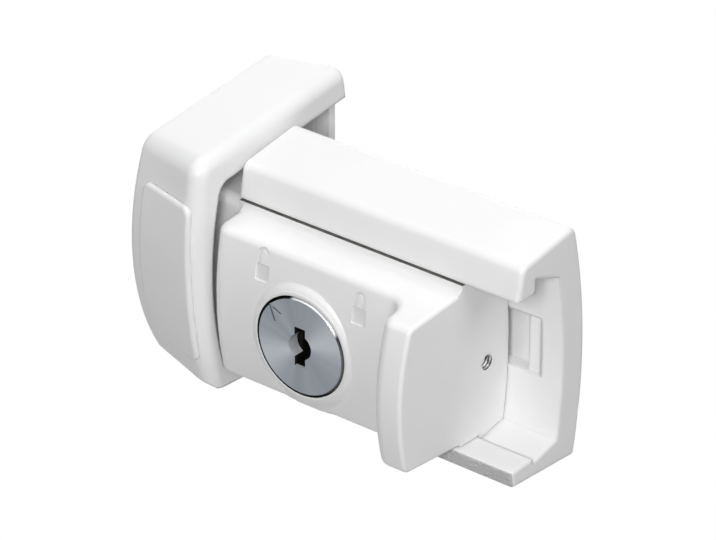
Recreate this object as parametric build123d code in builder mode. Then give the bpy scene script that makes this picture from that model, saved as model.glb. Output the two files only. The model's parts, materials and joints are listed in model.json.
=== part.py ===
"""Surface-mounted sliding window lock with a key cylinder.

A slide runs in a C-shaped rail on the sash. Its left end goes behind a hood on
the fixed frame. A key turned 90 degrees lifts a bolt into the rail and locks it.

Frame: the origin is the middle of the rail's flat back land, +Y points into the
window, -Y to the room, +Z is up and +X is the way the slide opens.
The key's axis is at Z = 0. All sizes are in millimetres.
"""
import os
from math import atan2, cos, degrees, radians, sin, tan

from build123d import *

os.makedirs("parts", exist_ok=True)

# Rail, driving sizes
rail_length = 71.0
rail_radius = 115.0
rail_back_bulge = 0.6
rail_back_mid_z = 1.0
rail_front_y = -24.65
rail_top_front_z = 29.5
rail_top_rear_z = 31.6
rail_bottom_front_z = -20.4
rail_bottom_rear_z = -22.5
rail_top_round = 2.2
rail_foot_round = 1.0
rail_end_round = 1.0
lip_edge_round = 0.45

# Channel in the rail
upper_lip_z = 22.0
lower_lip_z = -16.5
upper_lip_rear_y = -16.7
lower_lip_rear_y = -16.3
channel_top_front_z = 25.4
channel_top_rear_z = 22.1
channel_bottom_front_z = -17.7
channel_bottom_rear_z = -16.1
channel_wall_y = -6.6
channel_radius = 108.0

# Slide
travel = 13.9
slide_gap = 0.35
slide_left_x = -rail_length / 2 - travel
slide_right_x = 21.6
tongue_bottom_z = -13.0
tongue_round = 2.4
block_round = 2.0
block_left_round = 3.2
neck_root_round = 1.2
neck_top_gap = 0.8
slide_side_draft = 2.0
block_front_y = -31.8
block_front_radius = 75.0
block_mid_z = 2.0
block_top_z = 19.6
block_bottom_z = -16.1
block_draft = tan(radians(5.0))
neck_front_y = -22.0
wing_left_x = 13.5
wing_front_y = -41.2
wing_front_radius = 54.0
wing_root_round = 4.0
wing_nose_round = 3.0
wing_side_round = 0.9

# Key cylinder
key_x = -11.3
face_radius = 10.9
boss_front_y = -33.2
boss_radius = 12.1
boss_waist_radius = 13.1
boss_waist_y = -31.5
boss_foot_radius = 16.3
boss_foot_y = -29.4
rim_bore_radius = 11.3
face_y = -32.3
face_thickness = 0.9
housing_radius = 11.0
housing_front_y = -31.2
housing_rear_y = -11.45
clip_bore_radius = 9.0
clip_floor_y = -13.4
bore_clearance = 0.06
barrel_radius = 7.5
barrel_front_y = -31.8
barrel_rear_y = -12.0
clip_inner_radius = 6.9
clip_outer_radius = 8.6
key_slot_width = 2.7
key_slot_height = 9.1
key_slot_low_z = -4.7
key_round_radius = 2.9
key_round_end_y = -29.8
face_bevel = 0.45
arrow_tip = (-7.6, 7.3)
arrow_feet = ((-6.4, 3.9), (-4.8, 6.1))
arrow_stroke = 0.5
arrow_depth = 0.2
keyway_end_y = -17.5
wafer_y = (-28.6, -25.8, -23.0, -20.2)
wafer_thickness = 1.2
wafer_half_width = 3.45
wafer_radius = 7.35
set_screw_y = -13.9
set_screw_radius = 1.62
set_screw_hole_radius = 1.65
set_screw_end_x = 7.2

# Bolt drive
crank = 4.2
pin_radius = 1.5
bolt_front_y = -11.3
bolt_rear_y = -9.6
bolt_width = 8.0
bolt_base_left = 8.2
bolt_base_top_z = 8.2
bolt_base_low_z = -6.2
bolt_tip_z = 21.4
bolt_play = 0.3
slot_play = 0.15

# Stop recess in the rail's back wall
recess_left_x = 8.0
recess_right_x = 30.2
recess_bottom_z = -3.7
recess_top_z = 9.8
recess_depth = 3.0
stop_rib_left_x = 26.4
stop_rib_right_x = 29.2
stop_rib_drop = 0.8
plunger_left_x = 8.3
plunger_right_x = 12.2
plunger_low_z = -3.35
plunger_top_z = 9.45
plunger_tip_y = -4.1
plunger_base_y = -10.6
plunger_floor_y = -12.0

# Plate over the bolt
plate_x0 = -20.9
plate_x1 = 15.1
plate_z0 = -13.1
plate_z1 = 17.0
plate_y0 = -9.45
plate_y1 = -8.1
plate_screw_x = (-18.3, 12.6)
plate_screw_z = (-10.6, 14.9)
plate_screw_radius = 1.0
plate_screw_head = 1.9

# Glide pads
pad_x = ((-33.0, -23.5), (16.3, 20.8))
pad_z = ((-13.4, -8.6), (13.6, 18.8))
pad_floor_y = -10.4
pad_gap = 0.1

# Padlock marks
mark_depth = 0.4
open_mark_x = -22.3
open_mark_z = 10.9
shut_mark_x = 2.65
shut_mark_z = 9.7
mark_width = 3.4
mark_height = 3.6
mark_stroke = 0.62

# Mounting holes
mount_hole_radius = 2.25
mount_head_radius = 4.3
rail_hole_x = (-29.0, 3.0)
rail_hole_z = (11.0, -9.0)
hood_hole_x = -46.0
hood_hole_z = (13.0, -8.0)

# Hood: each front is an arc through three points (Y, Z), at the right and left ends
hood_right_x = -36.0
hood_left_x = -56.6
hood_right_front = ((-32.3, -18.8), (-35.9, 12.0), (-34.0, 33.6))
hood_left_front = ((-24.6, -19.4), (-32.4, 8.0), (-27.0, 31.2))
hood_rear_right = ((13.0, 37.7), (16.0, 6.5), (12.4, -24.6))
hood_rear_left = ((13.0, 34.3), (16.0, 6.5), (12.4, -22.4))
hood_low_front_right = (-29.0, -21.0)
hood_low_front_left = (-22.0, -20.8)
hood_land_y = 15.4
hood_top_round = 4.5
hood_rear_round = 1.2
hood_corner_round = 3.0
hood_left_round = 1.6
hollow_left_x = -52.4
hollow_front = ((-27.0, -16.4), (-30.2, 4.0), (-27.2, 26.9))
hollow_corner_round = 3.5
hollow_rear_top_z = 30.7
hollow_rear_low_z = -21.0
cap_top_z = 24.0
cap_bottom_z = -13.2
cap_left_x = -53.0
cap_right_x = -37.6
cap_sunk = 0.8
cap_proud = 0.8
cap_corner_round = 2.0
cap_edge_round = 0.7
access_radius = 4.6
base_front_y = 13.4
base_right_x = -40.3
base_low_z = -20.2
base_top_z = 29.8
lug_thickness = 1.6
lug_front_y = 3.0
lug_z = (-11.0, 22.0)
hood_screw_y = 8.0
hood_screw_z = (-5.5, 16.5)


def bulge(apex, radius, mid_z, z):
    """Y of a rear-facing arc whose apex is at mid_z."""
    return apex - radius + (radius**2 - (z - mid_z) ** 2) ** 0.5


def hollow(apex, radius, mid_z, z):
    """Y of a room-facing arc whose apex is at mid_z."""
    return apex + radius - (radius**2 - (z - mid_z) ** 2) ** 0.5


def rail_back(z):
    return bulge(rail_back_bulge, rail_radius, rail_back_mid_z, z)


def rail_front(z):
    return hollow(rail_front_y, rail_radius, 0, z)


def channel_wall(z, gap=0.0):
    return bulge(channel_wall_y - gap, channel_radius, rail_back_mid_z, z)


def block_front(z):
    return hollow(block_front_y, block_front_radius, block_mid_z, z)


def wing_front(z):
    return hollow(wing_front_y, wing_front_radius, 0, z)


def block_top(y):
    return block_top_z + block_draft * (y - neck_front_y)


def block_bottom(y):
    return block_bottom_z - block_draft * (y - neck_front_y)


def meet(front, edge):
    """Z where a front arc meets the sloped top or bottom."""
    z = edge(block_front_y)
    for _ in range(12):
        z = edge(front(z))
    return z


def box_between(x0, x1, y0, y1, z0, z1, mode=Mode.ADD):
    """A box by its limits."""
    with Locations(((x0 + x1) / 2, (y0 + y1) / 2, (z0 + z1) / 2)):
        Box(abs(x1 - x0), abs(y1 - y0), abs(z1 - z0), mode=mode)


def rod_y(x, z, radius, y0, y1, mode=Mode.ADD):
    """A round bar or bore along Y."""
    with Locations(Location((x, (y0 + y1) / 2, z), (90, 0, 0))):
        Cylinder(radius, abs(y1 - y0), mode=mode)


def cone_y(x, z, radius0, radius1, y0, y1, mode=Mode.SUBTRACT):
    """A cone along Y, radius0 at y0 and radius1 at y1, with y0 the lower Y."""
    with Locations(Location((x, (y0 + y1) / 2, z), (-90, 0, 0))):
        Cone(radius0, radius1, abs(y1 - y0), mode=mode)


# Rail: a crowned C section with lips, a stop recess, bolt notches and screw holes
with BuildPart() as rail:
    with BuildSketch(Plane.YZ.offset(-rail_length / 2)):
        with BuildLine():
            front_top = (rail_front(rail_top_front_z), rail_top_front_z)
            front_low = (rail_front(rail_bottom_front_z), rail_bottom_front_z)
            rear_top = (rail_back(rail_top_rear_z), rail_top_rear_z)
            rear_low = (rail_back(rail_bottom_rear_z), rail_bottom_rear_z)
            ThreePointArc(front_low, (rail_front(0), 0), front_top)
            Line(front_top, rear_top)
            ThreePointArc(rear_top, (rail_back(rail_back_mid_z), rail_back_mid_z), rear_low)
            Line(rear_low, front_low)
        make_face()
    extrude(amount=rail_length)
    long_edges = rail.edges().filter_by(Axis.X).sort_by(Axis.Z)
    fillet(long_edges[2:], rail_top_round)
    foot_edges = rail.edges().filter_by(Axis.X).sort_by(Axis.Z)
    fillet(foot_edges[:2], rail_foot_round)
    rail_ends = rail.faces().filter_by(Axis.X)
    fillet(rail_ends.edges(), rail_end_round)
    with BuildSketch(Plane.YZ.offset(-rail_length / 2 - 1)):
        with BuildLine():
            lip_chamfer = 0.5
            wall_top = (channel_wall(channel_top_rear_z), channel_top_rear_z)
            wall_low = (channel_wall(channel_bottom_rear_z), channel_bottom_rear_z)
            Polyline(
                wall_low,
                (lower_lip_rear_y + 0.8, channel_bottom_front_z),
                (lower_lip_rear_y, channel_bottom_front_z + 0.2),
                (lower_lip_rear_y, lower_lip_z),
                (rail_front_y - 3, lower_lip_z),
                (rail_front_y - 3, upper_lip_z),
                (upper_lip_rear_y - lip_chamfer, upper_lip_z),
                (upper_lip_rear_y, upper_lip_z + lip_chamfer),
                (upper_lip_rear_y, channel_top_front_z),
                wall_top,
            )
            ThreePointArc(wall_top, (channel_wall(rail_back_mid_z), rail_back_mid_z), wall_low)
        make_face()
    extrude(amount=rail_length + 2, mode=Mode.SUBTRACT)
    lip_edges = (
        rail.edges()
        .filter_by(Axis.X)
        .filter_by(
            lambda e: e.center().Y < -22
            and min(abs(e.center().Z - upper_lip_z), abs(e.center().Z - lower_lip_z)) < 0.01
        )
    )
    fillet(lip_edges, lip_edge_round)
    # the flat land that lies on the sash
    box_between(-rail_length, rail_length, 0, 5, -40, 40, mode=Mode.SUBTRACT)
    recess_floor_y = channel_wall_y + recess_depth
    for x0, x1, floor_y in (
        (recess_left_x, stop_rib_left_x, recess_floor_y),
        (stop_rib_left_x, stop_rib_right_x, channel_wall_y + stop_rib_drop),
        (stop_rib_right_x, recess_right_x, recess_floor_y),
    ):
        box_between(
            x0,
            x1,
            channel_wall_y - 4,
            floor_y,
            recess_bottom_z,
            recess_top_z,
            mode=Mode.SUBTRACT,
        )
    # notches that take the bolt, for the closed and the open place of the slide
    for notch_x in (key_x, key_x + travel):
        box_between(
            notch_x - bolt_width / 2 - bolt_play,
            notch_x + bolt_width / 2 + bolt_play,
            bolt_front_y - bolt_play,
            bolt_rear_y + bolt_play,
            channel_top_rear_z - 1.5,
            bolt_tip_z + crank + 0.5,
            mode=Mode.SUBTRACT,
        )
    for hole_x in rail_hole_x:
        for hole_z in rail_hole_z:
            wall = channel_wall(hole_z)
            rod_y(hole_x, hole_z, mount_hole_radius, wall - 1, 1, mode=Mode.SUBTRACT)
            rod_y(hole_x, hole_z, mount_head_radius, wall - 1, wall + 0.4, mode=Mode.SUBTRACT)
            cone_y(hole_x, hole_z, mount_head_radius, mount_hole_radius, wall + 0.4, wall + 2.45)
rail.part.label = "rail"
export_step(rail.part, "parts/rail.step")

# Slide body: one casting with the tongue, the key boss and the finger wing
side_tan = tan(radians(slide_side_draft))
side_plane = Plane(
    origin=(slide_right_x, neck_front_y, 0),
    z_dir=(cos(radians(slide_side_draft)), -sin(radians(slide_side_draft)), 0),
)
front_top_z = meet(block_front, block_top)
front_low_z = meet(block_front, block_bottom)
wing_top_z = meet(wing_front, block_top)
wing_low_z = meet(wing_front, block_bottom)
lip_top = upper_lip_z - neck_top_gap
lip_low = lower_lip_z + slide_gap
with BuildPart() as slide_body:
    with BuildSketch(Plane.YZ.offset(-rail_length / 2)):
        with BuildLine():
            Polyline(
                (neck_front_y + 1, block_bottom(neck_front_y + 1)),
                (block_front(front_low_z), front_low_z),
            )
            ThreePointArc(
                (block_front(front_low_z), front_low_z),
                (block_front(block_mid_z), block_mid_z),
                (block_front(front_top_z), front_top_z),
            )
            Polyline(
                (block_front(front_top_z), front_top_z),
                (neck_front_y + 1, block_top(neck_front_y + 1)),
                (neck_front_y + 1, block_bottom(neck_front_y + 1)),
            )
        make_face()
    extrude(amount=slide_right_x + 2 + rail_length / 2)
    with BuildSketch(Plane.YZ.offset(wing_left_x)):
        with BuildLine():
            wing_top = (wing_front(wing_top_z), wing_top_z)
            wing_low = (wing_front(wing_low_z), wing_low_z)
            root_top = (-25, block_top(-25))
            root_low = (-25, block_bottom(-25))
            ThreePointArc(wing_low, (wing_front_y, 0), wing_top)
            Polyline(wing_top, root_top, root_low, wing_low)
        make_face()
    extrude(amount=slide_right_x + 2 - wing_left_x)
    split(bisect_by=side_plane, keep=Keep.BOTTOM)
    wing_root = (
        slide_body.edges()
        .filter_by_position(Axis.X, wing_left_x - 0.01, wing_left_x + 0.01)
        .filter_by_position(Axis.Y, block_front_y - 0.1, -28.5)
        .sort_by(Edge.length)[-1]
    )
    fillet(wing_root, wing_root_round)
    wing_fronts = slide_body.edges().filter_by(GeomType.CIRCLE)
    wing_nose = wing_fronts.filter_by_position(Axis.Y, wing_front_y - 1, wing_front_y + 3)
    fillet(wing_nose.sort_by(Axis.X)[0], wing_nose_round)
    rim = slide_body.edges().filter_by(
        lambda e: e.center().Y < -27
        and abs(e.center().Z - 1.8) > 14
        and e.center().X < 21
        and e.length > 1
    )
    block_left = slide_body.edges().filter_by_position(
        Axis.X, -rail_length / 2 - 0.01, -rail_length / 2 + 0.01
    )
    fillet(list(block_left.filter_by_position(Axis.Y, -33, -29)), block_left_round)
    fillet(rim, block_round)
    side_edges = slide_body.edges().filter_by(
        lambda e: e.center().X > 20.5 and e.center().Y < -26 and e.length > 1
    )
    fillet(side_edges, wing_side_round)
    # neck and flanges between the lips
    with BuildSketch(Plane.YZ.offset(-rail_length / 2)):
        with BuildLine():
            flange_front = upper_lip_rear_y + slide_gap
            foot_front = lower_lip_rear_y + slide_gap
            crown_top = (channel_wall(21.7, slide_gap), 21.7)
            crown_low = (channel_wall(-15.75, slide_gap), -15.75)
            Polyline(
                crown_low,
                (foot_front, -17.3),
                (foot_front, lip_low),
                (neck_front_y, lip_low),
                (neck_front_y, lip_top),
                (flange_front, lip_top),
                (flange_front, 24.9),
                crown_top,
            )
            ThreePointArc(crown_top, (channel_wall(1, slide_gap), 1), crown_low)
        make_face()
    extrude(amount=slide_right_x + 2 + rail_length / 2)
    # hollow root between the block's top and the neck
    with BuildSketch(Plane.YZ.offset(-rail_length / 2 + 1)):
        with BuildLine():
            root_y = neck_front_y - neck_root_round
            root_start = (neck_front_y, block_top_z + neck_root_round)
            root_end = (root_y, block_top(root_y))
            root_mid = (
                neck_front_y - 0.293 * neck_root_round,
                block_top_z + 0.293 * neck_root_round,
            )
            ThreePointArc(root_start, root_mid, root_end)
            Polyline(
                root_end,
                (root_y, block_top_z - 1),
                (neck_front_y + 0.5, block_top_z - 1),
                (neck_front_y + 0.5, block_top_z + neck_root_round),
                root_start,
            )
        make_face()
    extrude(amount=slide_right_x + 2 + rail_length / 2)
    split(bisect_by=side_plane, keep=Keep.BOTTOM)
    # tongue
    with BuildSketch(Plane.YZ.offset(slide_left_x)):
        with BuildLine():
            tongue_rear_top = (channel_wall(20.6, slide_gap), lip_top)
            tongue_rear_low = (channel_wall(tongue_bottom_z, slide_gap), tongue_bottom_z)
            Polyline(
                tongue_rear_low,
                (neck_front_y, tongue_bottom_z),
                (neck_front_y, lip_top),
                tongue_rear_top,
            )
            ThreePointArc(tongue_rear_top, (channel_wall(1, slide_gap), 1), tongue_rear_low)
        make_face()
        fillet(vertices().sort_by(Axis.X)[:2], tongue_round)
    extrude(amount=travel + 0.5)
    # key boss, turned about the key's axis, with a hollow flare into the block
    with BuildSketch(Plane.XY):
        with BuildLine():
            boss_lip = (key_x + boss_radius - 0.5, boss_front_y)
            boss_edge = (key_x + boss_radius, boss_front_y + 0.5)
            boss_waist = (key_x + boss_waist_radius, boss_waist_y)
            boss_foot = (key_x + boss_foot_radius, boss_foot_y)
            Line((key_x, boss_front_y), boss_lip)
            ThreePointArc(
                boss_lip,
                (key_x + boss_radius - 0.15, boss_front_y + 0.15),
                boss_edge,
            )
            ThreePointArc(boss_edge, boss_waist, boss_foot)
            Polyline(boss_foot, (key_x, boss_foot_y), (key_x, boss_front_y))
        make_face()
    revolve(axis=Axis((key_x, 0, 0), (0, 1, 0)))
    rod_y(key_x, 0, housing_radius, boss_front_y - 1, housing_rear_y, mode=Mode.SUBTRACT)
    rod_y(key_x, 0, rim_bore_radius, boss_front_y - 1, housing_front_y, mode=Mode.SUBTRACT)
    # set screw hole in the side face
    with Locations(Location((14, set_screw_y, 0), (0, 90, 0))):
        Cylinder(set_screw_hole_radius, 30, mode=Mode.SUBTRACT)
    # bolt pocket, open to the top
    box_between(
        key_x - bolt_base_left - slot_play,
        key_x + bolt_width / 2 + slot_play,
        housing_rear_y,
        -5,
        bolt_base_low_z - slot_play,
        bolt_base_top_z + crank + bolt_play,
        mode=Mode.SUBTRACT,
    )
    box_between(
        key_x - bolt_width / 2 - slot_play,
        key_x + bolt_width / 2 + slot_play,
        housing_rear_y,
        -5,
        0,
        30,
        mode=Mode.SUBTRACT,
    )
    # seat of the plate, plunger pocket and screw holes
    box_between(plate_x0, plate_x1, plate_y0, -5, plate_z0, plate_z1, mode=Mode.SUBTRACT)
    box_between(
        plunger_left_x - 0.95,
        plunger_right_x + 0.95,
        plunger_floor_y,
        -5,
        plunger_low_z - 0.95,
        plunger_top_z + 0.95,
        mode=Mode.SUBTRACT,
    )
    for screw_x in plate_screw_x:
        for screw_z in plate_screw_z:
            rod_y(screw_x, screw_z, plate_screw_radius, -14.5, -9, mode=Mode.SUBTRACT)
    # pad pockets
    for x0, x1 in pad_x:
        for z0, z1 in pad_z:
            box_between(x0, x1, pad_floor_y, -5, z0, z1, mode=Mode.SUBTRACT)
# padlock marks, sunk in the curved front
with BuildPart() as marks:
    with BuildSketch(Plane.XZ.offset(33)):
        with Locations((open_mark_x, open_mark_z + mark_height / 2)):
            Rectangle(mark_width, mark_height)
        with Locations((shut_mark_x, shut_mark_z + mark_height / 2)):
            Rectangle(mark_width, mark_height)
        ring = 1.35
        for mark_x, low_z, leg in (
            (open_mark_x, open_mark_z + mark_height, 2.3),
            (shut_mark_x, shut_mark_z + mark_height, 2.1),
        ):
            with Locations((mark_x, low_z + leg)):
                Circle(ring)
            with Locations((mark_x, low_z + leg / 2)):
                Rectangle(2 * ring, leg)
            with Locations((mark_x, low_z + leg)):
                Circle(ring - mark_stroke, mode=Mode.SUBTRACT)
            with Locations((mark_x, low_z + leg / 2)):
                Rectangle(2 * (ring - mark_stroke), leg, mode=Mode.SUBTRACT)
        # the open one is free on its right side
        with Locations((open_mark_x + ring, open_mark_z + mark_height + 0.9)):
            Rectangle(1.5, 1.8, mode=Mode.SUBTRACT)
    extrude(amount=-6)
    with BuildSketch(Plane.YZ.offset(-40)):
        with BuildLine():
            deep = [(block_front(z) + mark_depth, z) for z in (-20, block_mid_z, 24)]
            ThreePointArc(*deep)
            Polyline(deep[2], (-20, 24), (-20, -20), deep[0])
        make_face()
    extrude(amount=80, mode=Mode.SUBTRACT)
with BuildPart() as slide_marked:
    add(slide_body.part)
    add(marks.part, mode=Mode.SUBTRACT)
slide_marked.part.label = "slide_body"
export_step(slide_marked.part, "parts/slide_body.step")

# Plate over the bolt, with the window for the stop plunger
with BuildPart() as back_plate:
    box_between(plate_x0, plate_x1, plate_y0, plate_y1, plate_z0, plate_z1)
    fillet(back_plate.edges().filter_by(Axis.Y), 0.6)
    box_between(
        plunger_left_x - 0.1,
        plunger_right_x + 0.1,
        -12,
        -5,
        plunger_low_z - 0.1,
        plunger_top_z + 0.1,
        mode=Mode.SUBTRACT,
    )
    for screw_x in plate_screw_x:
        for screw_z in plate_screw_z:
            rod_y(screw_x, screw_z, plate_screw_radius, -12, -5, mode=Mode.SUBTRACT)
            cone_y(screw_x, screw_z, plate_screw_radius, plate_screw_head, plate_y1 - 0.9, plate_y1)
back_plate.part.label = "back_plate"
export_step(back_plate.part, "parts/back_plate.step")

with BuildPart() as back_plate_screws:
    for screw_x in plate_screw_x:
        for screw_z in plate_screw_z:
            rod_y(screw_x, screw_z, plate_screw_radius, -14.0, plate_y1 - 0.85)
            cone_y(
                screw_x,
                screw_z,
                plate_screw_radius,
                plate_screw_head,
                plate_y1 - 0.9,
                plate_y1,
                mode=Mode.ADD,
            )
            box_between(
                screw_x - 0.25,
                screw_x + 0.25,
                plate_y1 - 0.5,
                plate_y1 + 1,
                screw_z - 1.4,
                screw_z + 1.4,
                mode=Mode.SUBTRACT,
            )
back_plate_screws.part.label = "back_plate_screws"
export_step(back_plate_screws.part, "parts/back_plate_screws.step")

# Nylon pads that run on the rail's back wall
with BuildPart() as glide_pads:
    for x0, x1 in pad_x:
        for z0, z1 in pad_z:
            with BuildSketch(Plane.YZ.offset(x0)):
                with BuildLine():
                    rear = [(channel_wall(z, pad_gap), z) for z in (z0, (z0 + z1) / 2, z1)]
                    ThreePointArc(*rear)
                    Polyline(rear[2], (pad_floor_y, z1), (pad_floor_y, z0), rear[0])
                make_face()
            extrude(amount=x1 - x0)
glide_pads.part.label = "glide_pads"
export_step(glide_pads.part, "parts/glide_pads.step")

# Stop plunger, its spring and the cylinder's set screw
with BuildPart() as stop_plunger:
    box_between(
        plunger_left_x,
        plunger_right_x,
        plunger_base_y,
        plunger_tip_y,
        plunger_low_z,
        plunger_top_z,
    )
    fillet(stop_plunger.faces().sort_by(Axis.Y)[-1].edges(), 0.5)
    box_between(
        plunger_left_x - 0.8,
        plunger_right_x + 0.8,
        plunger_base_y,
        plunger_base_y + 1.0,
        plunger_low_z - 0.8,
        plunger_top_z + 0.8,
    )
stop_plunger.part.label = "stop_plunger"
export_step(stop_plunger.part, "parts/stop_plunger.step")

# bow spring between the pocket's floor and the plunger's foot
plunger_x = (plunger_left_x + plunger_right_x) / 2
plunger_z = (plunger_low_z + plunger_top_z) / 2
spring_half_length = 5.4
spring_half_width = 1.5
spring_strip = 0.22
with BuildPart() as plunger_spring:
    with BuildSketch(Plane.YZ.offset(plunger_x - spring_half_width)):
        with BuildLine():
            ThreePointArc(
                (plunger_floor_y + spring_strip, plunger_z - spring_half_length),
                (plunger_base_y - spring_strip, plunger_z),
                (plunger_floor_y + spring_strip, plunger_z + spring_half_length),
            )
        trace(line_width=spring_strip)
    extrude(amount=2 * spring_half_width)
plunger_spring.part.label = "plunger_spring"
export_step(plunger_spring.part, "parts/plunger_spring.step")

with BuildPart() as cylinder_set_screw:
    with Locations(Location(((set_screw_end_x + 0.1) / 2, set_screw_y, 0), (0, 90, 0))):
        Cylinder(set_screw_radius, set_screw_end_x - 0.1)
    with Locations(Location((-0.3, set_screw_y, 0), (0, 90, 0))):
        Cylinder(1.2, 1.4)
    with Locations(Location((set_screw_end_x, set_screw_y, 0), (0, 90, 0))):
        with BuildSketch(Plane.YZ.offset(set_screw_end_x)):
            with Locations((set_screw_y, 0)):
                RegularPolygon(1.1, 6)
        extrude(amount=-1.8, mode=Mode.SUBTRACT)
cylinder_set_screw.part.label = "cylinder_set_screw"
export_step(cylinder_set_screw.part, "parts/cylinder_set_screw.step")

# Cylinder housing, pressed up to the floor of the boss bore
bore = barrel_radius + bore_clearance
with BuildPart() as cylinder_housing:
    rod_y(key_x, 0, housing_radius, housing_front_y, housing_rear_y)
    rod_y(key_x, 0, bore, -40, 0, mode=Mode.SUBTRACT)
    rod_y(key_x, 0, clip_bore_radius, clip_floor_y, 0, mode=Mode.SUBTRACT)
    # bays above and below the wafers
    box_between(
        key_x - wafer_half_width - 0.2,
        key_x + wafer_half_width + 0.2,
        wafer_y[0] - 0.9,
        wafer_y[-1] + 0.9,
        -9.0,
        9.0,
        mode=Mode.SUBTRACT,
    )
    # dimple for the set screw
    with Locations(Location((1.5, set_screw_y, 0), (0, 90, 0))):
        Cylinder(1.3, 5, mode=Mode.SUBTRACT)
cylinder_housing.part.label = "cylinder_housing"
export_step(cylinder_housing.part, "parts/cylinder_housing.step")

# Face plate of the key plug, with the round of the keyhole and the engraved arrow
with BuildPart() as face_plate:
    rod_y(key_x, 0, face_radius, face_y, face_y + face_thickness)
    chamfer(face_plate.faces().sort_by(Axis.Y)[0].edges(), face_bevel)
    rod_y(key_x, 0, barrel_radius, barrel_front_y, -30, mode=Mode.SUBTRACT)
    rod_y(key_x, 0, key_round_radius, face_y - 1, face_y + 2, mode=Mode.SUBTRACT)
    box_between(
        key_x - key_slot_width / 2,
        key_x + key_slot_width / 2,
        face_y - 1,
        face_y + 2,
        key_slot_low_z,
        key_slot_low_z + key_slot_height,
        mode=Mode.SUBTRACT,
    )
    with BuildSketch(Plane.XZ.offset(-face_y)):
        for foot_x, foot_z in arrow_feet:
            with BuildLine():
                Line(
                    (key_x + arrow_tip[0], arrow_tip[1]),
                    (key_x + foot_x, foot_z),
                )
            trace(line_width=arrow_stroke)
    extrude(amount=-arrow_depth, mode=Mode.SUBTRACT)
face_plate.part.label = "face_plate"
export_step(face_plate.part, "parts/face_plate.step")

# Key plug with its keyway and wafer slots
with BuildPart() as plug:
    rod_y(key_x, 0, barrel_radius, barrel_front_y, barrel_rear_y)
    chamfer(plug.faces().sort_by(Axis.Y)[-1].edges(), 0.2)
    rod_y(key_x, 0, key_round_radius, -34, key_round_end_y, mode=Mode.SUBTRACT)
    box_between(
        key_x - key_slot_width / 2,
        key_x + key_slot_width / 2,
        -34,
        keyway_end_y,
        key_slot_low_z,
        key_slot_low_z + key_slot_height,
        mode=Mode.SUBTRACT,
    )
    for y in wafer_y:
        half = wafer_thickness / 2 + 0.05
        box_between(key_x - 3.5, key_x + 2.0, y - half, y + half, -9, 9, mode=Mode.SUBTRACT)
        box_between(key_x + 1.9, key_x + 3.5, y - half, y + half, -4.2, 9, mode=Mode.SUBTRACT)
    # groove for the clip
    with BuildSketch(Plane.XZ.offset(12.35)):
        with Locations((key_x, 0)):
            Circle(barrel_radius + 1)
            Circle(clip_inner_radius, mode=Mode.SUBTRACT)
    extrude(amount=1.0, mode=Mode.SUBTRACT)
    rod_y(key_x - crank, 0, pin_radius, -17, -11, mode=Mode.SUBTRACT)
plug.part.label = "plug"
export_step(plug.part, "parts/plug.step")

with BuildPart() as crank_pin:
    rod_y(key_x - crank, 0, pin_radius, -17, bolt_rear_y - 0.05)
    chamfer(crank_pin.faces().sort_by(Axis.Y)[-1].edges(), 0.25)
crank_pin.part.label = "crank_pin"
export_step(crank_pin.part, "parts/crank_pin.step")

with BuildPart() as plug_clip:
    rod_y(key_x, 0, clip_outer_radius, -13.3, -12.4)
    rod_y(key_x, 0, clip_inner_radius, -14, -12, mode=Mode.SUBTRACT)
    box_between(key_x - 3, key_x + 3, -14, -12, 0, 10, mode=Mode.SUBTRACT)
plug_clip.part.label = "plug_clip"
export_step(plug_clip.part, "parts/plug_clip.step")

# Wafers at the shear line, each with a spring beside its window
with BuildPart() as wafers:
    for y in wafer_y:
        with BuildSketch(Plane.XZ.offset(-y - wafer_thickness / 2)):
            with Locations((key_x, 0)):
                Circle(wafer_radius)
            with Locations((key_x + 3 + 1.9, 0)):
                Rectangle(6, 20, mode=Mode.SUBTRACT)
            with Locations((key_x - 3 - wafer_half_width, 0)):
                Rectangle(6, 20, mode=Mode.SUBTRACT)
            with Locations((key_x + 2.6, 3.9)):
                Rectangle(1.7, 1.4)
            with Locations((key_x, -0.15)):
                Rectangle(key_slot_width, 8.2, mode=Mode.SUBTRACT)
        extrude(amount=wafer_thickness)
wafers.part.label = "wafers"
export_step(wafers.part, "parts/wafers.step")

# zigzag strip springs, each under its wafer's ear
spring_bends = 6
spring_low_z = -3.95
spring_high_z = 3.0
spring_wave = 0.45
wafer_strip = 0.16
with BuildPart() as wafer_springs:
    for y in wafer_y:
        with BuildSketch(Plane.XZ.offset(-y - 0.4)):
            with BuildLine():
                rise = (spring_high_z - spring_low_z) / spring_bends
                Polyline(
                    *[
                        (key_x + 2.75 + spring_wave * (-1) ** k, spring_low_z + rise * k)
                        for k in range(spring_bends + 1)
                    ]
                )
            trace(line_width=wafer_strip)
        extrude(amount=0.8)
wafer_springs.part.label = "wafer_springs"
export_step(wafer_springs.part, "parts/wafer_springs.step")

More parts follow.
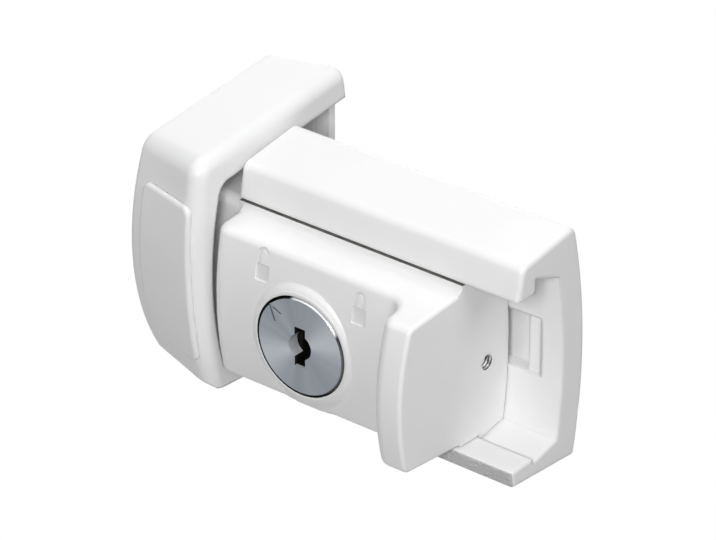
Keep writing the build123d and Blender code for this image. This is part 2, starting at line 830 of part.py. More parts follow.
# Bolt: its slot turns the crank's arc into an even lift
with BuildPart() as lock_bolt:
    with BuildSketch(Plane.XZ.offset(-bolt_rear_y)):
        with Locations((key_x - bolt_base_left / 2 + bolt_width / 4, 1)):
            base_height = bolt_base_top_z - bolt_base_low_z
            Rectangle(bolt_base_left + bolt_width / 2, base_height)
        with Locations((key_x, bolt_tip_z / 2)):
            Rectangle(bolt_width, bolt_tip_z)
        fillet(vertices().sort_by(Axis.Y)[-2:], 0.8)
        slot_width = 2 * (pin_radius + slot_play)
        steps = [radians(15 * k) for k in range(7)]
        path = [
            (key_x - crank * cos(a), crank * (sin(a) - a / radians(90)))
            for a in steps
        ]
        for (xa, za), (xb, zb) in zip(path[:-1], path[1:]):
            run = ((xb - xa) ** 2 + (zb - za) ** 2) ** 0.5
            with Locations(Location(((xa + xb) / 2, (za + zb) / 2, 0), (0, 0, 0))):
                SlotCenterToCenter(
                    run, slot_width, rotation=degrees(atan2(zb - za, xb - xa)), mode=Mode.SUBTRACT
                )
    extrude(amount=bolt_rear_y - bolt_front_y)
lock_bolt.part.label = "lock_bolt"
export_step(lock_bolt.part, "parts/lock_bolt.step")


def front_at(x, shift=0.0):
    """Three points of the hood's front arc at x, moved by shift into the window."""
    t = (hood_right_x - x) / (hood_right_x - hood_left_x)
    return [
        (ra + t * (la - ra) + shift, rz + t * (lz - rz))
        for (ra, rz), (la, lz) in zip(hood_right_front, hood_left_front)
    ]


# Hood
with BuildPart() as hood:
    for x, front, rear, low in (
        (hood_left_x, hood_left_front, hood_rear_left, hood_low_front_left),
        (hood_right_x, hood_right_front, hood_rear_right, hood_low_front_right),
    ):
        with BuildSketch(Plane.YZ.offset(x)):
            with BuildLine():
                ThreePointArc(*front)
                Line(front[2], rear[0])
                ThreePointArc(*rear)
                Line(rear[2], low)
                Line(low, front[0])
            make_face()
    loft(ruled=True)
    front_long = hood.edges().filter_by(
        lambda e: abs((e @ 0).X - (e @ 1).X) > 10 and (e @ 0.5).Y < 0 and (e @ 0.5).Z > 0
    )
    fillet(front_long, hood_top_round)
    right_rim = hood.edges().filter_by_position(Axis.X, hood_right_x - 0.01, hood_right_x + 0.01)
    fillet(right_rim.filter_by(lambda e: e.center().Y < 5 and e.center().Z > -18), hood_corner_round)
    left_rim = hood.edges().filter_by_position(Axis.X, hood_left_x - 0.01, hood_left_x + 0.01)
    fillet(left_rim, hood_left_round)
    rear_long = hood.edges().filter_by(
        lambda e: abs((e @ 0).X - (e @ 1).X) > 10 and (e @ 0.5).Y > 0
    )
    fillet(rear_long, hood_rear_round)
    with BuildSketch(Plane.YZ.offset(hollow_left_x)):
        with BuildLine():
            ThreePointArc(*hollow_front)
            Line(hollow_front[2], (20, hollow_rear_top_z))
            Line((20, hollow_rear_top_z), (20, hollow_rear_low_z))
            Line((20, hollow_rear_low_z), hollow_front[0])
        make_face()
        fillet(vertices().sort_by(Axis.X)[:2].sort_by(Axis.Y)[-1], hollow_corner_round)
    extrude(amount=40, mode=Mode.SUBTRACT)
    box_between(-70, -20, hood_land_y, 30, -40, 50, mode=Mode.SUBTRACT)
    for z in hood_hole_z:
        rod_y(hood_hole_x, z, access_radius, -40, -20, mode=Mode.SUBTRACT)
    for z in hood_screw_z:
        with Locations(Location((-55, hood_screw_y, z), (0, 90, 0))):
            Cylinder(1.6, 8, mode=Mode.SUBTRACT)
        with Locations(Location((hood_left_x + 0.75, hood_screw_y, z), (0, 90, 0))):
            Cone(2.9, 1.6, 1.5, mode=Mode.SUBTRACT)

# Cap over the hood's screw holes
with BuildPart() as hood_cap:
    for x in (cap_left_x, cap_right_x):
        with BuildSketch(Plane.YZ.offset(x)):
            with BuildLine():
                outer = front_at(x, -cap_proud)
                inner = front_at(x, cap_sunk)
                ThreePointArc(*outer)
                Line(outer[2], inner[2])
                ThreePointArc(*inner)
                Line(inner[0], outer[0])
            make_face()
    loft(ruled=True)
    with BuildSketch(Plane.XZ.offset(10)):
        with Locations(((cap_left_x + cap_right_x) / 2, (cap_top_z + cap_bottom_z) / 2)):
            RectangleRounded(cap_right_x - cap_left_x, cap_top_z - cap_bottom_z, cap_corner_round)
    extrude(amount=40, mode=Mode.INTERSECT)
    fillet(hood_cap.faces().sort_by(Axis.Y)[0].edges(), cap_edge_round)
with BuildPart() as hood_shell:
    add(hood.part)
    add(hood_cap.part, mode=Mode.SUBTRACT)
hood_shell.part.label = "hood"
export_step(hood_shell.part, "parts/hood.step")
hood_cap.part.label = "hood_cap"
export_step(hood_cap.part, "parts/hood_cap.step")

# Base plate with the side lug that the hood is screwed to
with BuildPart() as hood_base_plate:
    box_between(
        hollow_left_x, base_right_x, base_front_y, hood_land_y, base_low_z, base_top_z
    )
    box_between(
        hollow_left_x,
        hollow_left_x + lug_thickness,
        lug_front_y,
        base_front_y,
        lug_z[0],
        lug_z[1],
    )
    for z in hood_hole_z:
        rod_y(hood_hole_x, z, mount_hole_radius, 10, 20, mode=Mode.SUBTRACT)
        cone_y(hood_hole_x, z, mount_hole_radius + 1.6, mount_hole_radius, base_front_y, 15.0)
    for z in hood_screw_z:
        with Locations(Location((-50, hood_screw_y, z), (0, 90, 0))):
            Cylinder(1.5, 10, mode=Mode.SUBTRACT)
hood_base_plate.part.label = "hood_base_plate"
export_step(hood_base_plate.part, "parts/hood_base_plate.step")

with BuildPart() as hood_screws:
    for z in hood_screw_z:
        with Locations(Location(((hood_left_x - 50.2) / 2 + 0.1, hood_screw_y, z), (0, 90, 0))):
            Cylinder(1.5, -50.2 - hood_left_x)
        with Locations(Location((hood_left_x + 0.85, hood_screw_y, z), (0, 90, 0))):
            Cone(2.8, 1.5, 1.5)
        box_between(
            hood_left_x - 1,
            hood_left_x + 0.8,
            hood_screw_y - 2.0,
            hood_screw_y + 2.0,
            z - 0.3,
            z + 0.3,
            mode=Mode.SUBTRACT,
        )
hood_screws.part.label = "hood_screws"
export_step(hood_screws.part, "parts/hood_screws.step")
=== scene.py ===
# %% [markdown]
# # A sliding window lock
# The lock has a C-shaped rail, a keyed slide that runs in it, and a hooded keeper that
# takes the slide's tongue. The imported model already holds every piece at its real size, so
# this lesson starts by loading it and measuring the box that the finished lock must keep to.

# %% Load the frame
import json

from math import cos, hypot, pi, radians, sin

import bmesh
import bpy
from mathutils import Matrix, Vector


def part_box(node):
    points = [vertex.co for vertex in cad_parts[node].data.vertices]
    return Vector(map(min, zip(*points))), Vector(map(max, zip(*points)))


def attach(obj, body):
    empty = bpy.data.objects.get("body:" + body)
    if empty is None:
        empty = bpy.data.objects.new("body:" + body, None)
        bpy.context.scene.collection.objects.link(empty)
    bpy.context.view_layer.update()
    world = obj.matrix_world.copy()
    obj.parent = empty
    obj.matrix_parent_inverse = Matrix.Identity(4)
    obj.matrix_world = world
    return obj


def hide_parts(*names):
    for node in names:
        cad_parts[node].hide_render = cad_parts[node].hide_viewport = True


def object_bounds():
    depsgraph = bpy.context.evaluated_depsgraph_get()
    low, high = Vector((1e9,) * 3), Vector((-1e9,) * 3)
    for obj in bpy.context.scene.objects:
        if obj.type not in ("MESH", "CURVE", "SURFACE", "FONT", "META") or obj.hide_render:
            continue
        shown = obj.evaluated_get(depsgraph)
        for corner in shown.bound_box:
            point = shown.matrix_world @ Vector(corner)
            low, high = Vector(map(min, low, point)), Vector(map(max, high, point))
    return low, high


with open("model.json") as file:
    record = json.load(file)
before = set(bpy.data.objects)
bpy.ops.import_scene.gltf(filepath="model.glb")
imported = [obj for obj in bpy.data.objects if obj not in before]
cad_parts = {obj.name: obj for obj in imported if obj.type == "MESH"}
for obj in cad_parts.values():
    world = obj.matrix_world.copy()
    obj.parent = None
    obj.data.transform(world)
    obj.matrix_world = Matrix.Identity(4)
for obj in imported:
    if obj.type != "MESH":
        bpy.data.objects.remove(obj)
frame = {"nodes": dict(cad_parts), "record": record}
cad_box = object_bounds()
MM = 0.001

# %% [markdown]
# ## The camera
# The photograph looks down at the lock from the right. Its long edges converge very little,
# so the camera stands far away with a long lens. The stand point was found by matching the
# rail's four long edges, and a camera placed by numbers stays put when the scene is rerun.

# %% Place the camera
VIEW_AZIMUTH = 38.25
VIEW_ELEVATION = 29.75
LENS_MM = 217.2
CAMERA_PLACE = (0.4622, -0.6142, 0.4466)

camera_data = bpy.data.cameras.new("camera")
camera_data.lens = LENS_MM
camera_data.sensor_width = 36.0
camera_data.clip_end = 10.0
camera = bpy.data.objects.new("camera", camera_data)
camera.location = CAMERA_PLACE
camera.rotation_euler = (radians(90 - VIEW_ELEVATION), 0, radians(VIEW_AZIMUTH))
bpy.context.scene.collection.objects.link(camera)
bpy.context.scene.camera = camera
bpy.context.scene.view_settings.view_transform = "Standard"
print("camera", round(camera.location.length / MM), "mm from the rail's back")

# %% [markdown]
# ## The room
# The lock hangs in a white room with no edges. A plain white world would also flood the lock
# with light from all sides. Light Path tells the rays apart: those that see the room
# directly or in a mirror get white, and light that bounces gets a weak grey.


# %% Make the room
ROOM_STRENGTH = 0.12
ROOM_TINT = (0.98, 0.99, 1.0, 1)


def math_step(tree, operation, first, second=0.0):
    """A Math node on a socket and a number, or on two sockets."""
    node = tree.nodes.new("ShaderNodeMath")
    node.operation = operation
    tree.links.new(first, node.inputs[0])
    if isinstance(second, float):
        node.inputs[1].default_value = second
    else:
        tree.links.new(second, node.inputs[1])
    return node.outputs[0]


def seen_directly(tree):
    """One for camera, glossy and transmission rays, zero for bounced light."""
    path = tree.nodes.new("ShaderNodeLightPath")
    seen = path.outputs["Is Camera Ray"]
    for ray in ("Is Glossy Ray", "Is Transmission Ray"):
        seen = math_step(tree, "MAXIMUM", seen, path.outputs[ray])
    return seen


def lit_or_white(tree, lit, white, output, share=1.0):
    """Show the white shader where the surface is seen directly, and the lit one elsewhere."""
    mix = tree.nodes.new("ShaderNodeMixShader")
    white_share = math_step(tree, "MULTIPLY", seen_directly(tree), share)
    tree.links.new(white_share, mix.inputs[0])
    tree.links.new(lit.outputs[0], mix.inputs[1])
    tree.links.new(white.outputs[0], mix.inputs[2])
    tree.links.new(mix.outputs[0], output.inputs["Surface"])


world = bpy.data.worlds.new("studio")
world.use_nodes = True
bpy.context.scene.world = world
room_tree = world.node_tree
room = room_tree.nodes["Background"]
room.inputs["Color"].default_value = ROOM_TINT
room.inputs["Strength"].default_value = ROOM_STRENGTH
backdrop = room_tree.nodes.new("ShaderNodeBackground")
backdrop.inputs["Color"].default_value = (1, 1, 1, 1)
lit_or_white(room_tree, room, backdrop, room_tree.nodes["World Output"])
print("room strength", ROOM_STRENGTH)

# %% [markdown]
# ## The lamps
# A studio hangs a big soft box over such a lock and fills its sides with weaker ones. Disk
# area lamps do the same, and a table keeps their places, sizes and powers side by side. The
# one overhead makes the tops the brightest faces, those in front and at the right light what
# the camera sees, and the one behind keeps the rear grey. Each lamp was rendered alone, and
# the powers were fitted so that their sum comes near the photograph's tones, with the tops
# kept just below white.


# %% Hang the lamps
LAMPS = (
    # name, place, point that it looks at, size in metres, power in watts
    ("overhead", (-0.05, 0.12, 0.82), (-0.01, 0, 0), 0.7, 3.5),
    ("front_fill", (0.35, -0.64, 0.42), (0, 0, 0), 0.25, 3.8),
    ("right_fill", (0.42, -0.12, 0.42), (0, 0, 0), 0.3, 0.8),
    ("back_fill", (-0.55, 0.68, 0.22), (0, 0, 0), 0.6, 1.6),
)


def soft_lamp(name, place, aim, size, power):
    """A wide area lamp that looks at a point."""
    data = bpy.data.lights.new(name, "AREA")
    data.shape = "DISK"
    data.size = size
    data.energy = power
    lamp = bpy.data.objects.new(name, data)
    lamp.location = place
    toward = Vector(aim) - Vector(place)
    lamp.rotation_euler = toward.to_track_quat("-Z", "Y").to_euler()
    bpy.context.scene.collection.objects.link(lamp)


for lamp_row in LAMPS:
    soft_lamp(*lamp_row)
print("lamps:", ", ".join(lamp_row[0] for lamp_row in LAMPS))

# %% [markdown]
# ## The floor
# The floor lies below the lock, so the shadow on it is wide and faint. It is a mid grey to
# bounced light, which keeps the undersides darker, and nearly white where it is seen. A
# small share of its own shading stays there, so the lock's soft shadow still shows.


# %% Lay the floor
FLOOR_DROP = 0.06
FLOOR_HALF_WIDTH = 3.0
FLOOR_GREY = (0.3, 0.3, 0.3, 1)
FLOOR_ROUGHNESS = 0.9
FLOOR_GLOW = 1.1
FLOOR_WHITE_SHARE = 0.88


def as_piece(name, work, finishes):
    """Turn a bmesh into an object at the origin, with its finishes in their slots."""
    mesh = bpy.data.meshes.new(name)
    work.to_mesh(mesh)
    work.free()
    for finish in finishes:
        mesh.materials.append(finish)
    piece = bpy.data.objects.new(name, mesh)
    bpy.context.scene.collection.objects.link(piece)
    return piece


floor_paint = bpy.data.materials.new("pale floor")
floor_paint.use_nodes = True
floor_tree = floor_paint.node_tree
floor_lit = floor_tree.nodes["Principled BSDF"]
floor_lit.inputs["Base Color"].default_value = FLOOR_GREY
floor_lit.inputs["Roughness"].default_value = FLOOR_ROUGHNESS
floor_white = floor_tree.nodes.new("ShaderNodeEmission")
floor_white.inputs["Strength"].default_value = FLOOR_GLOW
floor_output = floor_tree.nodes["Material Output"]
lit_or_white(floor_tree, floor_lit, floor_white, floor_output, FLOOR_WHITE_SHARE)

floor_work = bmesh.new()
bmesh.ops.create_grid(floor_work, x_segments=1, y_segments=1, size=FLOOR_HALF_WIDTH)
floor = as_piece("floor", floor_work, [floor_paint])
floor.location = (0, 0, cad_box[0][2] - FLOOR_DROP)
print("floor", round(FLOOR_DROP / MM), "mm under the lock")

# %% [markdown]
# ## The white coat
# Most of the lock is zinc casting under a white satin powder coat. Under the lamps such a
# coat shows a faint orange peel and tiny changes of tone, so its tone, gloss and bump come
# from two noises at different scales. The powder also runs a little thicker over edges. A
# Bevel node rounds them in the shading alone, which is enough for a softness this small.
# The rail's lower lip is a rough cast face in the photograph, so it has deep pits instead.


# %% Helpers for a finish
RAMP_START = 0.3
RAMP_END = 0.7


def new_finish(name, colour, roughness, metallic=0.0):
    """A material with its shader's plain values set, its node tree and its shader."""
    finish = bpy.data.materials.new(name)
    finish.use_nodes = True
    tree = finish.node_tree
    shader = tree.nodes["Principled BSDF"]
    shader.inputs["Base Color"].default_value = (*colour, 1)
    shader.inputs["Roughness"].default_value = roughness
    shader.inputs["Metallic"].default_value = metallic
    finish.diffuse_color = (*colour, 1)
    return finish, tree, shader


def noise_on_object(tree, scale, detail, stretch=(1, 1, 1)):
    """A noise texture that reads the piece's own coordinates, in metres."""
    place = tree.nodes.new("ShaderNodeTexCoord")
    mapping = tree.nodes.new("ShaderNodeMapping")
    mapping.inputs["Scale"].default_value = stretch
    noise = tree.nodes.new("ShaderNodeTexNoise")
    noise.inputs["Scale"].default_value = scale
    noise.inputs["Detail"].default_value = detail
    tree.links.new(place.outputs["Object"], mapping.inputs["Vector"])
    tree.links.new(mapping.outputs[0], noise.inputs["Vector"])
    return noise


def tone_between(tree, noise, shader, dark, light):
    """Let a noise move the base colour between two close tones."""
    ramp = tree.nodes.new("ShaderNodeValToRGB")
    stops = ramp.color_ramp.elements
    stops[0].position, stops[0].color = RAMP_START, (*dark, 1)
    stops[1].position, stops[1].color = RAMP_END, (*light, 1)
    tree.links.new(noise.outputs["Fac"], ramp.inputs[0])
    tree.links.new(ramp.outputs[0], shader.inputs["Base Color"])


def rough_between(tree, noise, shader, smooth, rough):
    """Let a noise move the roughness between two values."""
    scaled = tree.nodes.new("ShaderNodeMapRange")
    scaled.inputs["To Min"].default_value = smooth
    scaled.inputs["To Max"].default_value = rough
    tree.links.new(noise.outputs["Fac"], scaled.inputs["Value"])
    tree.links.new(scaled.outputs[0], shader.inputs["Roughness"])


def bump_from(tree, noise, shader, strength, distance):
    """Raise the surface a little where the noise is high."""
    bump = tree.nodes.new("ShaderNodeBump")
    bump.inputs["Strength"].default_value = strength
    bump.inputs["Distance"].default_value = distance
    tree.links.new(noise.outputs["Fac"], bump.inputs["Height"])
    tree.links.new(bump.outputs[0], shader.inputs["Normal"])
    return bump


helpers = (new_finish, noise_on_object, tone_between, rough_between, bump_from)
print("helpers:", ", ".join(helper.__name__ for helper in helpers))


# %% Mix the white coat
COAT_TONE = 0.86
COAT_ROUGHNESS = 0.42
COAT_SMOOTH = 0.38
COAT_ROUGH = 0.46
CLOUD_SCALE = 60.0
CLOUD_DETAIL = 2.0
CLOUD_DARKER = 0.012
CLOUD_LIGHTER = 0.014
CLOUD_WARMTH = 0.998
PEEL_SCALE = 1400.0
PEEL_DETAIL = 2.0
PEEL_GRAIN = 0.12
PEEL_DEPTH = 0.03 * MM
PIT_SCALE = 2000.0
PIT_DETAIL = 4.0
PIT_GRAIN = 1.0
PIT_DEPTH = 0.6 * MM
EDGE_SAMPLES = 6


def clouded_white(name, shade):
    """The powder coat's tone and gloss, with no bump yet."""
    plain = COAT_TONE * shade
    finish, tree, shader = new_finish(name, (plain, plain, plain), COAT_ROUGHNESS)
    cloud = noise_on_object(tree, CLOUD_SCALE, CLOUD_DETAIL)
    low, high = plain - CLOUD_DARKER, plain + CLOUD_LIGHTER
    tone_between(tree, cloud, shader, (low, low, low), (high, high, high * CLOUD_WARMTH))
    rough_between(tree, cloud, shader, COAT_SMOOTH, COAT_ROUGH)
    return finish, tree, shader


def white_coat(name, soft_edge, shade=1.0):
    """The coat with its orange peel, its edges softened to a radius in millimetres."""
    finish, tree, shader = clouded_white(name, shade)
    peel = noise_on_object(tree, PEEL_SCALE, PEEL_DETAIL)
    bump = bump_from(tree, peel, shader, PEEL_GRAIN, PEEL_DEPTH)
    edge = tree.nodes.new("ShaderNodeBevel")
    edge.samples = EDGE_SAMPLES
    edge.inputs["Radius"].default_value = soft_edge * MM
    tree.links.new(edge.outputs[0], bump.inputs["Normal"])
    return finish


def rough_cast_coat(name, shade):
    """A copy of the coat, darker by the given shade and full of pits."""
    finish, tree, shader = clouded_white(name, shade)
    pits = noise_on_object(tree, PIT_SCALE, PIT_DETAIL)
    bump_from(tree, pits, shader, PIT_GRAIN, PIT_DEPTH)
    return finish


WHITE = white_coat("white satin coat", 0.25)
WHITE_SOFT = white_coat("thick white coat", 1.1)
WHITE_CAST = rough_cast_coat("rough cast coat", 0.68)
# Painted shade: the padlock marks' sunk floors are a tenth darker than the coat round them.
WHITE_SHADED_MARK = white_coat("coat with painted shade in the marks", 0.1, 0.9)
print("coats:", ", ".join(c.name for c in (WHITE, WHITE_SOFT, WHITE_CAST, WHITE_SHADED_MARK)))

# %% [markdown]
# ## Metals, nylon and painted shade
# The inner pieces are turned brass, zinc-plated or spring steel, and nylon. One helper makes
# them all: a noise stands for the tool marks and moves tone, gloss and bump together, and a
# stretch lets the marks run one way. The same helper makes the near-black finishes that paint
# shade into thin places: the gap round the key's face, the keyway, the wall of the tapped
# hole, and the line under the rail's lip.


# %% Mix the metals
TOOL_MARK_DETAIL = 4.0
TOOL_MARK_BUMP = 0.15
TOOL_MARK_DEPTH = 0.02 * MM


def machined(name, dark, light, roughness, grain, stretch=(1, 1, 1), metallic=1.0, gloss=0.5):
    """A finish whose tool marks move its tone, its roughness and its bump."""
    smooth, rough = roughness
    finish, tree, shader = new_finish(name, light, smooth, metallic)
    shader.inputs["Specular IOR Level"].default_value = gloss
    marks = noise_on_object(tree, grain, TOOL_MARK_DETAIL, stretch)
    tone_between(tree, marks, shader, dark, light)
    rough_between(tree, marks, shader, smooth, rough)
    bump_from(tree, marks, shader, TOOL_MARK_BUMP, TOOL_MARK_DEPTH)
    return finish


ZINC = machined(
    "zinc plate", (0.50, 0.51, 0.52), (0.63, 0.64, 0.65), (0.28, 0.45), 400, (1, 1, 3)
)
SPRING = machined(
    "spring steel", (0.35, 0.36, 0.38), (0.52, 0.53, 0.55), (0.2, 0.35), 900
)
BRASS = machined(
    "brass", (0.60, 0.45, 0.22), (0.74, 0.58, 0.30), (0.25, 0.4), 500, (1, 6, 1)
)
NYLON = machined(
    "nylon", (0.80, 0.80, 0.76), (0.86, 0.86, 0.83), (0.45, 0.6), 700, metallic=0.0
)
THREAD = machined(
    "bare thread", (0.20, 0.20, 0.21), (0.75, 0.75, 0.76), (0.2, 0.35), 900, metallic=0.9
)
# Painted highlight: the steel walls of the keyhole's round and of the slot's lower end get a
# light tone, while the slot's other walls are painted dark.
KEYHOLE_HIGHLIGHT = machined(
    "keyhole wall highlight", (0.66, 0.68, 0.71), (0.84, 0.86, 0.89), (0.2, 0.32), 500, metallic=0.35
)
PLATE_COAT = machined(
    "base plate coat",
    (0.80, 0.80, 0.80),
    (0.93, 0.93, 0.93),
    (0.5, 0.6),
    1500,
    stretch=(1, 1, 0.02),
    metallic=0.0,
)
print("metals:", ", ".join(m.name for m in (ZINC, SPRING, BRASS, THREAD, KEYHOLE_HIGHLIGHT)))

# %% Mix the painted shades
# Painted shade: a thin near-black line on the neck's top under the rail's lip.
LIP_GAP_SHADE = machined(
    "painted shade under the lip",
    (0.15, 0.142, 0.132),
    (0.24, 0.228, 0.215),
    (0.5, 0.7),
    500,
    metallic=0.0,
    gloss=0.2,
)
# Painted shade: near-black for the ring gap round the key's face, the plate's rim, the slot's
# walls and the sleeve's end.
GAP_SHADE = machined(
    "dark gap",
    (0.008, 0.008, 0.009),
    (0.016, 0.016, 0.018),
    (0.6, 0.8),
    900,
    metallic=0.0,
    gloss=0.1,
)
# Painted shade: near-black for the wall of the set screw's hole behind the thread.
SIDE_HOLE_SHADE = machined(
    "painted shade in the side hole",
    (0.02, 0.024, 0.03),
    (0.05, 0.055, 0.06),
    (0.5, 0.7),
    900,
    metallic=0.0,
    gloss=0.2,
)
# Painted shade: near-black for the plug's keyway seen through the keyhole, and for the wafers
# inside it.
KEYWAY_SHADE = machined(
    "painted keyway shade",
    (0.003, 0.003, 0.003),
    (0.009, 0.008, 0.007),
    (0.6, 0.8),
    600,
    stretch=(1, 5, 1),
    metallic=0.0,
    gloss=0.04,
)
print("dark places:", ", ".join(d.name for d in (LIP_GAP_SHADE, GAP_SHADE, SIDE_HOLE_SHADE, KEYWAY_SHADE)))

# %% [markdown]
# ## The key's turned face
# The key's face is turned steel. Its fine circles spread each reflection into a soft ray, and
# an anisotropic shader does that when its tangent runs round the key's axis. The circles are
# a one-dimensional noise on the distance from the axis. The faint streaks, and the one wide
# bright ray across the face, are tones on the direction round it: a studio's long lamps
# would give them, and painting them is steadier than hunting for those lamps.


# %% Turn the key's face
KEY_X = (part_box("plug")[0].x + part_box("plug")[1].x) / 2
CIRCLE_SCALE = 9000
CIRCLE_DETAIL = 2
CIRCLE_BUMP = 0.2
CIRCLE_DEPTH = 0.008 * MM
FACE_COLOUR = (0.42, 0.45, 0.50)
FACE_ROUGHNESS = 0.3
FACE_ANISOTROPY = 0.75
STREAK_SCALE = 2.2
STREAK_DETAIL = 5
STREAK_DARK = (0.225, 0.252, 0.280)
STREAK_LIGHT = (0.285, 0.310, 0.340)
RAY_ANGLE = radians(27)
RAY_SHARPNESS = 9.0
RAY_SHARE = 0.45
RAY_COLOUR = (0.62, 0.65, 0.68, 1)


def vector_step(tree, operation, source, value=(0, 0, 0), output="Vector"):
    """A Vector Math node on a socket and a fixed vector."""
    node = tree.nodes.new("ShaderNodeVectorMath")
    node.operation = operation
    node.inputs[1].default_value = value
    tree.links.new(source, node.inputs[0])
    return node.outputs[output]


def round_the_key(tree):
    """The place across the key's axis, and the direction that runs round the axis."""
    place = tree.nodes.new("ShaderNodeTexCoord")
    centre = tree.nodes.new("ShaderNodeMapping")
    centre.inputs["Location"].default_value = (-KEY_X, 0, 0)
    centre.inputs["Scale"].default_value = (1, 0, 1)
    tree.links.new(place.outputs["Object"], centre.inputs["Vector"])
    around = vector_step(tree, "CROSS_PRODUCT", centre.outputs[0], (0, 1, 0))
    return centre.outputs[0], vector_step(tree, "NORMALIZE", around)


def brush_round(tree, shader, around):
    """Let the reflections spread across the tool's circles."""
    turn = tree.nodes.new("ShaderNodeVectorTransform")
    turn.vector_type = "VECTOR"
    turn.convert_from = "OBJECT"
    turn.convert_to = "WORLD"
    tree.links.new(around, turn.inputs[0])
    tree.links.new(turn.outputs[0], shader.inputs["Tangent"])
    shader.inputs["Anisotropic"].default_value = FACE_ANISOTROPY


def turned_circles(tree, shader, place):
    """A fine bump that changes with the distance from the axis alone."""
    circles = tree.nodes.new("ShaderNodeTexNoise")
    circles.noise_dimensions = "1D"
    circles.inputs["Scale"].default_value = CIRCLE_SCALE
    circles.inputs["Detail"].default_value = CIRCLE_DETAIL
    distance = vector_step(tree, "LENGTH", place, output="Value")
    tree.links.new(distance, circles.inputs["W"])
    bump_from(tree, circles, shader, CIRCLE_BUMP, CIRCLE_DEPTH)


def faint_streaks(tree, shader, around):
    """Streaks of two close tones that run out from the axis."""
    streaks = tree.nodes.new("ShaderNodeTexNoise")
    streaks.inputs["Scale"].default_value = STREAK_SCALE
    streaks.inputs["Detail"].default_value = STREAK_DETAIL
    tree.links.new(around, streaks.inputs["Vector"])
    tone_between(tree, streaks, shader, STREAK_DARK, STREAK_LIGHT)


def wide_ray(tree, shader, around):
    """One bright ray across the face, laid over the streaks."""
    ray_way = (-sin(RAY_ANGLE), 0, cos(RAY_ANGLE))
    nearness = math_step(
        tree, "ABSOLUTE", vector_step(tree, "DOT_PRODUCT", around, ray_way, "Value")
    )
    ray = math_step(tree, "POWER", nearness, RAY_SHARPNESS)
    tone = tree.nodes.new("ShaderNodeMix")
    tone.data_type = "RGBA"
    tone.inputs["B"].default_value = RAY_COLOUR
    streaks = shader.inputs["Base Color"].links[0].from_socket
    tree.links.new(math_step(tree, "MULTIPLY", ray, RAY_SHARE), tone.inputs["Factor"])
    tree.links.new(streaks, tone.inputs["A"])
    tree.links.new(tone.outputs["Result"], shader.inputs["Base Color"])


FACE, face_tree, face_shader = new_finish(
    "turned face", FACE_COLOUR, FACE_ROUGHNESS, metallic=1.0
)
face_place, face_around = round_the_key(face_tree)
brush_round(face_tree, face_shader, face_around)
turned_circles(face_tree, face_shader, face_place)
faint_streaks(face_tree, face_shader, face_around)
wide_ray(face_tree, face_shader, face_around)
print("key axis at", round(KEY_X / MM, 2), "mm")

# %% [markdown]
# ## The polished bevel
# The face's bevel is under half a millimetre wide and mirrors the lamps in one place and the
# dark room in another. To get that from lamps alone, the whole studio would have to be built.
# A colour ramp over the angle round the axis gives the same bright arc and dark gap.


# %% Polish the bevel
BEVEL_COLOUR = (0.5, 0.52, 0.55)
BEVEL_ROUGHNESS = 0.2
BEVEL_METALLIC = 0.25
BEVEL_BLUE = 1.03
BEVEL_PLAIN = (0.24, 0.25, 0.27, 1)
BEVEL_TONES = (
    # degrees round the axis from the right, tone
    (-60, 0.26),
    (14, 0.16),
    (30, 0.05),
    (35, 0.98),
    (99, 0.98),
    (104, 0.008),
    (136, 0.008),
    (160, 0.12),
)


def turn_round_the_key(tree):
    """The angle round the key's axis, from zero to one over a full turn."""
    place = tree.nodes.new("ShaderNodeTexCoord")
    split = tree.nodes.new("ShaderNodeSeparateXYZ")
    tree.links.new(place.outputs["Object"], split.inputs[0])
    right = math_step(tree, "SUBTRACT", split.outputs["X"], KEY_X)
    turn = tree.nodes.new("ShaderNodeMapRange")
    turn.inputs["From Min"].default_value = -pi
    turn.inputs["From Max"].default_value = pi
    angle = math_step(tree, "ARCTAN2", split.outputs["Z"], right)
    tree.links.new(angle, turn.inputs["Value"])
    return turn.outputs[0]


POLISHED, bevel_tree, bevel_shader = new_finish(
    "polished bevel", BEVEL_COLOUR, BEVEL_ROUGHNESS, BEVEL_METALLIC
)
bevel_ramp = bevel_tree.nodes.new("ShaderNodeValToRGB")
bevel_stops = bevel_ramp.color_ramp.elements
for end, position in ((0, 0.0), (1, 1.0)):
    bevel_stops[end].position, bevel_stops[end].color = position, BEVEL_PLAIN
for degrees_round, tone in BEVEL_TONES:
    stop = bevel_stops.new(degrees_round / 360 + 0.5)
    stop.color = (tone, tone, tone * BEVEL_BLUE, 1)
bevel_tree.links.new(turn_round_the_key(bevel_tree), bevel_ramp.inputs[0])
bevel_tree.links.new(bevel_ramp.outputs[0], bevel_shader.inputs["Base Color"])
print("bevel tones:", len(bevel_stops))

# %% [markdown]
# ## The key's face and the boss
# Round the key's face the real boss is low: its lip stands about half a millimetre out of
# the block, and the steel face is a hair proud of it, so that its polished bevel catches the
# lamps. Copies of the boss and of the plate are pressed and drawn to these heights with the
# scale and translate operators, which keep every vertex joined to its neighbours.


# %% Set the heights of the boss and the plate
LIP_REACH = 14
LIP_FOOT_Y = -31.85
LIP_SHARE = 0.35
BOSS_FOOT_INNER = 12
BOSS_FOOT_OUTER = 16.6
BOSS_FOOT_Y = -28.9
BOSS_LOW_Z = -15.3
PLATE_BACK_Y = -31.9
PLATE_RISE = 0.25
PLATE_RIM_INNER = 10.3
PLATE_GROWTH = 1.02


def across(point):
    """How far to the right a point lies, in millimetres."""
    return point.x / MM


def depth(point):
    """How far into the window a point lies, in millimetres."""
    return point.y / MM


def height(point):
    """How high a point lies, in millimetres."""
    return point.z / MM


def from_axis(point):
    """Distance from the key's axis, in millimetres."""
    return hypot(point.x - KEY_X, point.z) / MM


